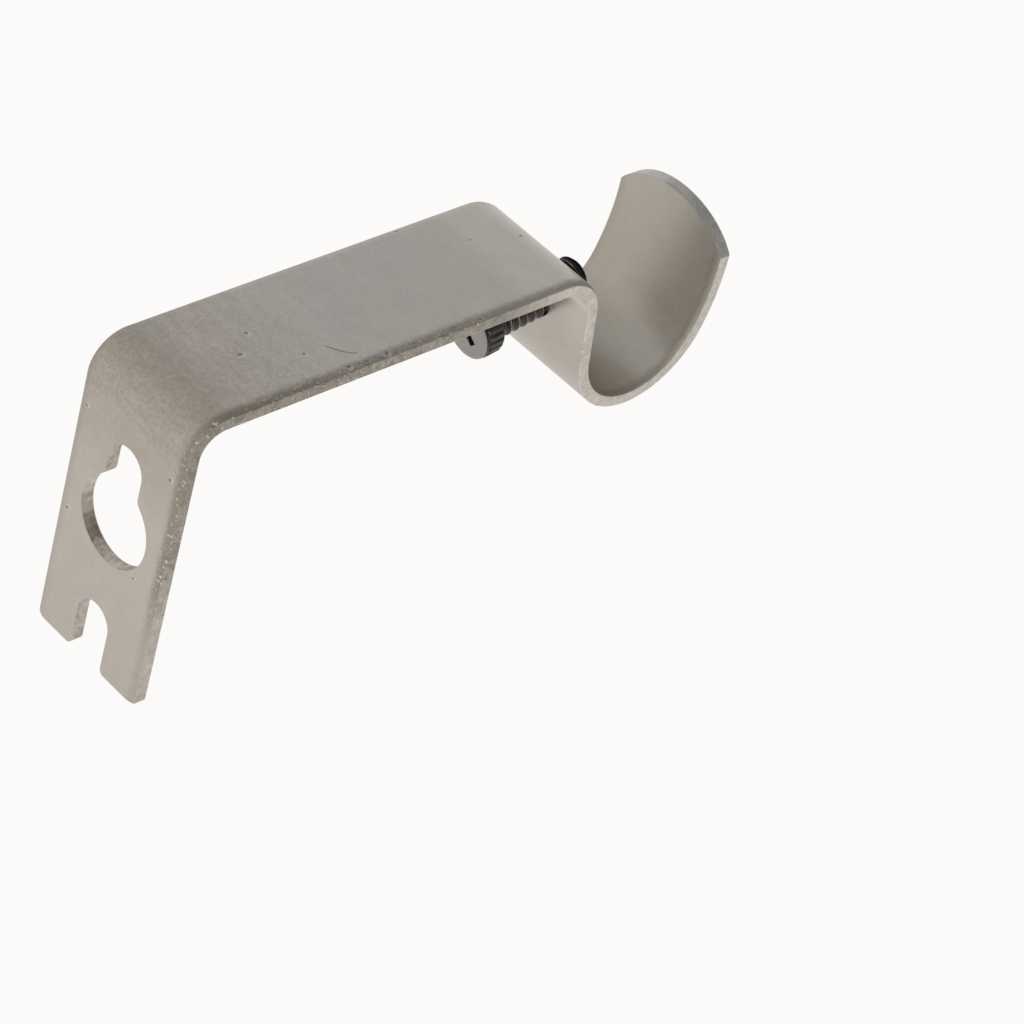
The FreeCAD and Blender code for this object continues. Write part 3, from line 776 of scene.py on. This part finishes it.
def marks_group():
    """Scattered small round marks, each with a rim."""
    group, given, out = new_group(
        "small_marks",
        [("Where", PLACE, ORIGIN), ("Marks per metre", NUMBER, 210.0), ("Share", NUMBER, 0.3),
         ("Size", NUMBER, 0.03)],
        [("Pit", NUMBER), ("Rim", NUMBER)])
    cells = node(group, "ShaderNodeTexVoronoi",
                 {"Vector": given["Where"], "Scale": given["Marks per metre"]}, feature="F1")
    chance = node(group, "ShaderNodeSeparateColor", {0: cells.outputs["Color"]}).outputs
    there = sums(group, "LESS_THAN", chance[0], given["Share"])
    away = sums(group, "DIVIDE", cells.outputs["Distance"], given["Size"])
    away = sums(group, "SUBTRACT", away, chance[1])
    rim = times(group, fade(group, away, 2.4, 1.3), fade(group, away, 0.8, 1.2))
    put(group, out, pit=times(group, fade(group, away, 1.0, 0.2), there),
        rim=times(group, rim, there))
    return group


def grit_group():
    """Irregular light nibs and dark specks."""
    group, given, out = new_group(
        "grit", [("Where", PLACE, ORIGIN), ("Amount", NUMBER, 1.0)],
        [("Nibs", NUMBER), ("Specks", NUMBER)])
    elsewhere = place_sums(group, "ADD", given["Where"], (0.013, 0.029, 0.041))
    light = noise(group, given["Where"], 1900.0, 2.0, 0.65)
    dark = noise(group, elsewhere, 1600.0, 2.0, 0.65)
    more = times(group, given["Amount"], 0.1)
    put(group, out, nibs=fade(group, plus(group, light, more), 0.69, 0.77),
        specks=fade(group, plus(group, dark, more), 0.69, 0.77))
    return group


def scratch_group():
    """One hair scratch: part of a thin circle, seen flat along and across the strap."""
    group, given, out = new_group(
        "hair_scratch",
        [("Where", PLACE, ORIGIN), ("Centre", PLACE, ORIGIN), ("Radius", NUMBER, 0.005),
         ("Middle", PLACE, ORIGIN), ("Reach", NUMBER, 0.002), ("Width", NUMBER, 0.00008)],
        [("Scratch", NUMBER)])
    wobble = noise(group, given["Where"], 900.0, 2.0, output="Color")
    moved = node(group, "ShaderNodeVectorMath",
                 {0: wobble, 1: (0.0006, 0.0006, 0.0), 2: given["Where"]},
                 operation="MULTIPLY_ADD").outputs[0]
    far = place_sums(group, "DISTANCE", moved, given["Centre"])
    off = sums(group, "ABSOLUTE", sums(group, "SUBTRACT", far, given["Radius"]))
    line = sums(group, "SUBTRACT", 1.0, sums(group, "DIVIDE", off, given["Width"]), clamp=True)
    ends = place_sums(group, "DISTANCE", given["Where"], given["Middle"])
    near = sums(group, "SUBTRACT", 1.0, sums(group, "DIVIDE", ends, given["Reach"]), clamp=True)
    put(group, out, scratch=times(group, line, fade(group, near, 0.0, 0.25)))
    return group


def dent_group():
    """One small ragged dent, with a light smear beside it."""
    group, given, out = new_group(
        "small_dent",
        [("Where", PLACE, ORIGIN), ("Place", PLACE, ORIGIN), ("Radius", NUMBER, 0.0002)],
        [("Pit", NUMBER), ("Rim", NUMBER)])
    ragged = times(group, noise(group, given["Where"], 3000.0, 3.0, 0.7), 1.8)
    beside = place_sums(group, "ADD", given["Place"], (0.00012, -0.00022, 0.0))
    away, other = (
        plus(group, sums(group, "DIVIDE", place_sums(group, "DISTANCE", given["Where"], middle),
                         given["Radius"]), ragged)
        for middle in (given["Place"], beside))
    put(group, out, pit=fade(group, away, 1.7, 1.2),
        rim=times(group, fade(group, other, 2.3, 1.6), fade(group, away, 1.5, 1.8)))
    return group


def shorn_group():
    """Metal that shears or a punch have cut: mottled, with faint lines through the thickness."""
    group, given, out = new_group(
        "shorn_metal",
        [("Where", PLACE, ORIGIN), ("Colour", COLOUR, (0.4, 0.36, 0.31, 1)),
         ("Dark", COLOUR, (0.2, 0.18, 0.15, 1)), ("Lines", NUMBER, 0.3), ("Patches", NUMBER, 0.3)],
        [("Colour", COLOUR), ("Height", NUMBER)])
    through = place_sums(group, "MULTIPLY", given["Where"], (1.0, 1.0, 0.12))
    lines = noise(group, through, 1500.0, 3.0, 0.7, 0.3)
    rough = noise(group, given["Where"], 1150.0, 4.0, 0.75)
    patch = noise(group, given["Where"], 480.0, 4.0, 0.7)
    mask = times(group, fade(group, patch, 0.47, 0.62), given["Patches"])
    mask = times(group, mask, fade(group, rough, 0.25, 0.55, 0.35, 1.0))
    spread = times(group, off_middle(group, lines), given["Lines"])
    spread = plus(group, spread, times(group, off_middle(group, rough), 1.1))
    level = sums(group, "MAXIMUM", plus(group, spread, 1.0), DARKEST)
    colour = blend_colours(group, mask, given["Colour"], given["Dark"])
    put(group, out, colour=brighten(group, colour, level),
        height=plus(group, times(group, lines, given["Lines"]), rough))
    return group


def strap_places(tree):
    """A place by how far along the strap, how far off its middle and how deep, and these three."""
    place = node(tree, "ShaderNodeAttribute", attribute_name="along_strap").outputs["Vector"]
    run, aside, depth = node(tree, "ShaderNodeSeparateXYZ", {0: place}).outputs
    return place, run, aside, depth


def satin_paint(speckle, shorn):
    """Satin grey paint with a fine metallic grain, thin and rubbed where the strap was shorn, with
    painted shade on the near rolled edge and painted light round the neck.
    """
    small_marks, grit, scratch, dent = marks_group(), grit_group(), scratch_group(), dent_group()
    made, tree, shader = new_finish("satin_grey_paint")
    where = node(tree, "ShaderNodeTexCoord").outputs["Object"]
    place, run, aside, depth = strap_places(tree)
    # full weight on the near side and a fifth on the far side, for the rolled edge's painted shade
    # and for the grit
    near_side_shade_and_grit = fade(tree, aside, 0.001, -0.001, 0.2, 1.0)
    aside = sums(tree, "ABSOLUTE", aside)
    on_face = place_sums(tree, "MULTIPLY", place, (1, 1, 0))

    # the paint's tone changes along the strap: darker and more speckled round the wall bend, and
    # painted lighter over the arm's end, the drop bend and the neck, where it is painted light
    worn = times(tree, fade(tree, run, 0.030, 0.042), fade(tree, run, 0.078, 0.05))
    calm = fade(tree, run, 0.075, 0.1, 0.085, 0.05)
    paint = use_group(tree, speckle, where=where, colour=tones(tree, run, PAINT_TONES_AND_NECK_LIGHT),
                      strength=plus(tree, times(tree, worn, 0.17), calm))
    colour = paint.outputs["Colour"]
    across = place_sums(tree, "MULTIPLY", place, (1.0, 0.22, 1.0))
    streaks = fade(tree, noise(tree, across, 700.0, 4.0, 0.7), 0.35, 0.65, -0.5, 0.5)
    streaks = times(tree, streaks, plus(tree, times(tree, worn, 0.09), 0.02))
    colour = brighten(tree, colour, plus(tree, streaks, 1.0))
    cool = times(tree, fade(tree, noise(tree, where, 110.0, 2.0), 0.4, 0.62), 0.4)
    colour = blend_colours(tree, cool, colour,
                           blend_colours(tree, 1.0, colour, COOLER, "MULTIPLY"))

    ragged = noise(tree, where, 1300.0, 4.0, 0.7)
    shift = times(tree, off_middle(tree, ragged), 0.0016)
    edge = plus(tree, aside, shift)
    on_wall_side = fade(tree, depth, 0.0009, 0.0005)

    # the paint is darker where the shears rolled the edge over: this is painted shade, strongest on
    # the near side and up the plate, and weak on the far side
    rolled = times(tree, fade(tree, edge, 0.0082, 0.0096), on_wall_side)
    dark = times(tree, fade(tree, run, 0.008, 0.022, 0.25, 0.85),
                 fade(tree, run, 0.05, 0.07, 1.0, 0.7))
    dark = times(tree, rolled, times(tree, dark, near_side_shade_and_grit))
    colour = blend_colours(tree, dark, colour, ROLLED_EDGE_SHADE)

    # the shorn side is dark and rough up the plate, tan on the arm and pale from the neck on, where
    # the pale is a painted reflection of the floor
    patches = times(tree, fade(tree, run, 0.085, 0.1, 0.6, 0.1),
                    fade(tree, run, 0.008, 0.025, 0.4, 1.0))
    side = use_group(tree, shorn, where=where, dark=SHORN_DARK, lines=0.25, patches=patches,
                     colour=tones(tree, run, SHORN_TONES_AND_REFLECTION))
    on_side = fade(tree, plus(tree, aside, times(tree, shift, 0.25)), 0.00972, 0.00986)
    on_side = times(tree, on_side, fade(tree, depth, 0.0002, 0.0004))
    colour = blend_colours(tree, on_side, colour, side.outputs["Colour"])

    # light nibs and dark specks along the roll and on the side, and a few round the wall bend
    gritty = times(tree, fade(tree, run, 0.1, 0.085, 0.25, 1.0),
                   fade(tree, run, 0.006, 0.022, 0.4, 1.0))
    near_edge = times(tree, fade(tree, aside, 0.0084, 0.0095), times(tree, gritty, near_side_shade_and_grit))
    dirty = sums(tree, "MAXIMUM", near_edge, times(tree, worn, 0.45))
    bits = use_group(tree, grit, where=where, amount=near_edge).outputs
    colour = blend_colours(tree, times(tree, bits["Nibs"], dirty), colour, NIB)
    colour = blend_colours(tree, times(tree, bits["Specks"], dirty), colour, SPECK)

    # the crisp front edge is rubbed bright in places and nicked in others
    along = noise(tree, where, 260.0, 3.0, 0.6)
    crisp = times(tree, fade(tree, aside, 0.00984, 0.00992), fade(tree, depth, 0.00184, 0.0019))
    bright = times(tree, crisp, fade(tree, along, 0.42, 0.6, 0.1, 0.8))
    colour = blend_colours(tree, bright, colour, RUBBED_EDGE)
    nicked = plus(tree, noise(tree, where, 620.0, 4.0, 0.7), fade(tree, run, 0.093, 0.1, 0.0, 0.05))
    on_edge = times(tree, fade(tree, edge, 0.0098, 0.0099), fade(tree, depth, 0.0017, 0.00185))
    nick = times(tree, fade(tree, nicked, 0.64, 0.72), on_edge)
    colour = blend_colours(tree, times(tree, nick, 0.7), colour, NICK)

    # small marks, dents and hair scratches on the broad faces
    holes = use_group(tree, small_marks, where=where)
    broad = fade(tree, aside, 0.0099, 0.0096)
    pit = times(tree, holes.outputs["Pit"], broad)
    rim = times(tree, holes.outputs["Rim"], times(tree, broad, 0.25))
    for run_at, aside_at, radius in DENTS:
        mark = use_group(tree, dent, where=on_face, place=mm(run_at, aside_at, 0),
                         radius=radius * MM)
        pit = sums(tree, "MAXIMUM", pit, times(tree, mark.outputs["Pit"], on_wall_side))
        rim = sums(tree, "MAXIMUM", rim, times(tree, mark.outputs["Rim"], on_wall_side))
    colour = blend_colours(tree, times(tree, rim, 0.6), colour, DENT_RIM)
    colour = blend_colours(tree, times(tree, pit, 0.7), colour, DENT_FLOOR)
    lines = [
        use_group(tree, scratch, where=on_face, centre=mm(*centre, 0), radius=radius * MM,
                  middle=mm(*middle, 0), reach=reach * MM, width=width * MM).outputs[0]
        for centre, radius, middle, reach, width in SCRATCHES]
    scratches = lines[0]
    for line in lines[1:]:
        scratches = sums(tree, "MAXIMUM", scratches, line)
    scratches = times(tree, scratches, on_wall_side)
    colour = blend_colours(tree, times(tree, scratches, 0.95), colour, SCRATCH)
    tree.links.new(colour, shader.inputs["Base Color"])
    shader.inputs["Metallic"].default_value = PAINT_METALLIC

    # duller where it is shorn, rolled or worn
    dull = fade(tree, paint.outputs["Grain"], 0.0, 1.0, 0.29, 0.36)
    dull = plus(tree, dull, times(tree, sums(tree, "MAXIMUM", on_side, rolled), 0.16))
    tree.links.new(plus(tree, dull, times(tree, worn, 0.06)), shader.inputs["Roughness"])
    hollows = times(tree, sums(tree, "MAXIMUM", pit, scratches), 2.0)
    height = sums(tree, "SUBTRACT", times(tree, paint.outputs["Grain"], 0.12), hollows)
    side_height = times(tree, side.outputs["Height"], 2.5)
    height = plus(tree, height, times(tree, side_height, on_side))
    raise_surface(tree, shader, height, 0.00002, 0.9)
    return made


def punched_wall(shorn):
    """The walls of the openings and of the screw's hole, and the strap's two ends."""
    made, tree, shader = new_finish("punched_walls")
    place, run = strap_places(tree)[:2]
    wall = use_group(tree, shorn, where=place, dark=WALL_DARK, colour=tones(tree, run, WALL_TONES),
                     lines=fade(tree, run, 0.12, 0.14, 0.8, 0.15),
                     patches=fade(tree, run, 0.12, 0.14, 0.6, 0.1))
    tree.links.new(wall.outputs["Colour"], shader.inputs["Base Color"])
    shader.inputs["Metallic"].default_value = PAINT_METALLIC
    dull = fade(tree, wall.outputs["Height"], 0.3, 0.9, 0.34, 0.5)
    tree.links.new(dull, shader.inputs["Roughness"])
    raise_surface(tree, shader, wall.outputs["Height"], 0.00005, 0.8)
    return made


def screw_finish(speckle):
    """Dull black, painted grey on the face as a painted sheen, and rubbed grey on the thread's
    crests and the head's ridges.
    """
    made, tree, shader = new_finish("black_screw_finish")
    where = node(tree, "ShaderNodeTexCoord").outputs["Object"]
    own = node(tree, "ShaderNodeMapping", {"Vector": where, "Location": mm(*SCREW_SEAT),
                                           "Rotation": screw_turn().to_euler()},
               vector_type="TEXTURE")
    x, y, z = node(tree, "ShaderNodeSeparateXYZ", {0: own.outputs[0]}).outputs
    off_axis = sums(tree, "SQRT", plus(tree, times(tree, x, x), times(tree, y, y)))

    # olive black on the head, brown black on the thread and blue black at the tip
    on_thread = fade(tree, z, -0.0001, 0.0002)
    on_tip = fade(tree, z, 0.0102, 0.0114)
    black = blend_colours(tree, on_thread, HEAD_BLACK, THREAD_BLACK)
    black = blend_colours(tree, on_tip, black, TIP_BLACK)
    finish = use_group(tree, speckle, where=where, colour=black, strength=0.4)

    # the head's face is painted grey all over: a painted sheen on the black face
    on_face = times(tree, fade(tree, z, -0.0031, -0.00322),
                    fade(tree, finish.outputs["Mottle"], 0.2, 0.6, 0.8, 1.0))
    colour = blend_colours(tree, on_face, finish.outputs["Colour"], FACE_SHEEN_GREY)

    # the thread's crests and the head's ridges are rubbed in patches
    crest = times(tree, fade(tree, off_axis, 0.0032, 0.0030), fade(tree, z, -0.0001, 0.0001))
    crest = times(tree, fade(tree, off_axis, 0.0029, 0.00295), crest)
    ridge = times(tree, fade(tree, off_axis, 0.00406, 0.00415), fade(tree, z, 0.0, -0.0002))
    patchy = fade(tree, noise(tree, where, 900.0, 3.0, 0.6), 0.4, 0.62)
    rubbed = times(tree, plus(tree, times(tree, crest, 0.9), times(tree, ridge, 0.16)),
                   plus(tree, times(tree, patchy, 0.75), 0.2))
    grey = blend_colours(tree, on_tip, RUBBED_GREY, RUBBED_TIP)
    colour = blend_colours(tree, rubbed, colour, grey)
    tree.links.new(colour, shader.inputs["Base Color"])
    shader.inputs["Metallic"].default_value = SCREW_METALLIC
    dull = fade(tree, finish.outputs["Mottle"], 0.3, 0.7, 0.26, 0.44)
    tree.links.new(dull, shader.inputs["Roughness"])
    raise_surface(tree, shader, finish.outputs["Grain"], 0.000008, 0.5)
    return made


# the studio

HORIZON = (0.985, 0.975, 0.965, 1)
OVERHEAD = (0.535, 0.55, 0.55, 1)
NO_LIGHT = (0.0, 0.0, 0.0, 1)
FLOOR_GLOW = 0.965

# the camera's place and turn, and its lens
CAMERA = Matrix((
    (0.719701, 0.297268, -0.627425, -0.270354),
    (-0.657434, 0.5823, -0.478234, -0.264776),
    (0.223186, 0.756676, 0.614515, 0.303086),
    (0, 0, 0, 1)))
CAMERA_LENS = 139.32
CAMERA_SENSOR = 36.0

# lamps: name, place, size and watts
LAMPS = (
    ("side_softbox", (-330, -470, 70), 450, 2.0),
    ("far_softbox", (-150, 420, 420), 600, 0.12),
)


def seen_directly(tree):
    """1 for what the camera sees, also in a polished surface or through a clear one."""
    path = node(tree, "ShaderNodeLightPath").outputs
    seen = sums(tree, "MAXIMUM", path["Is Camera Ray"], path["Is Glossy Ray"])
    return sums(tree, "MAXIMUM", seen, path["Is Transmission Ray"])


def make_floor():
    """A pale floor under the plate's end, which looks nearly white and lights like matt board."""
    floor = add_plane("floor", (4000.0, 4000.0), (45.0, 0.0, PLATE_END))
    pale, tree, shader = new_finish("pale_floor")
    tree.nodes.remove(shader)
    matt = node(tree, "ShaderNodeBsdfDiffuse", {"Color": (0.86, 0.855, 0.85, 1)})
    glow = node(tree, "ShaderNodeEmission", {"Color": HORIZON, "Strength": 1.0})
    share = times(tree, seen_directly(tree), FLOOR_GLOW)
    mixed = node(tree, "ShaderNodeMixShader", {0: share, 1: matt.outputs[0], 2: glow.outputs[0]})
    tree.links.new(mixed.outputs[0], tree.nodes["Material Output"].inputs["Surface"])
    floor.data.materials.append(pale)


def make_air():
    """Air that is white near the floor, and darker overhead and towards the camera's right."""
    world = bpy.data.worlds.new("studio")
    bpy.context.scene.world = world
    world.use_nodes = True
    tree = world.node_tree
    air = tree.nodes["Background"]
    way = node(tree, "ShaderNodeTexCoord").outputs["Generated"]
    height = node(tree, "ShaderNodeSeparateXYZ", {0: way}).outputs[2]
    aside = place_sums(tree, "DOT_PRODUCT", way, (0.8, -0.5, 0.33))
    colour = blend_colours(tree, fade(tree, height, 0.2, 0.85), HORIZON, OVERHEAD)
    colour = blend_colours(tree, fade(tree, aside, 0.25, 0.95, 1.0, 0.3), NO_LIGHT, colour)
    tree.links.new(colour, air.inputs["Color"])
    air.inputs["Strength"].default_value = 1.0


def make_lamps():
    for name, place, size, watts in LAMPS:
        lamp = bpy.data.lights.new(name, "AREA")
        lamp.size = size * MM
        lamp.energy = watts
        softbox = bpy.data.objects.new(name, lamp)
        softbox.location = mm(*place)
        softbox.rotation_euler = (mm(*place) - mm(45, 0, 0)).to_track_quat("Z", "Y").to_euler()
        bpy.context.scene.collection.objects.link(softbox)


def make_camera():
    camera = bpy.data.objects.new("camera", bpy.data.cameras.new("camera"))
    bpy.context.scene.collection.objects.link(camera)
    camera.matrix_world = CAMERA
    camera.data.lens = CAMERA_LENS
    camera.data.sensor_width = CAMERA_SENSOR
    camera.data.clip_start = 0.01
    bpy.context.scene.camera = camera
    bpy.context.scene.view_settings.view_transform = "Standard"


strap = make_strap()
screw = make_screw()
speckle = speckle_group()
shorn = shorn_group()
strap.data.materials.append(satin_paint(speckle, shorn))
strap.data.materials.append(punched_wall(shorn))
screw.data.materials.append(screw_finish(speckle))

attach(strap, "bracket")
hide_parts("bracket_strap")
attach(screw, "screw")
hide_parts("clamp_screw")

make_floor()
make_air()
make_lamps()
make_camera()
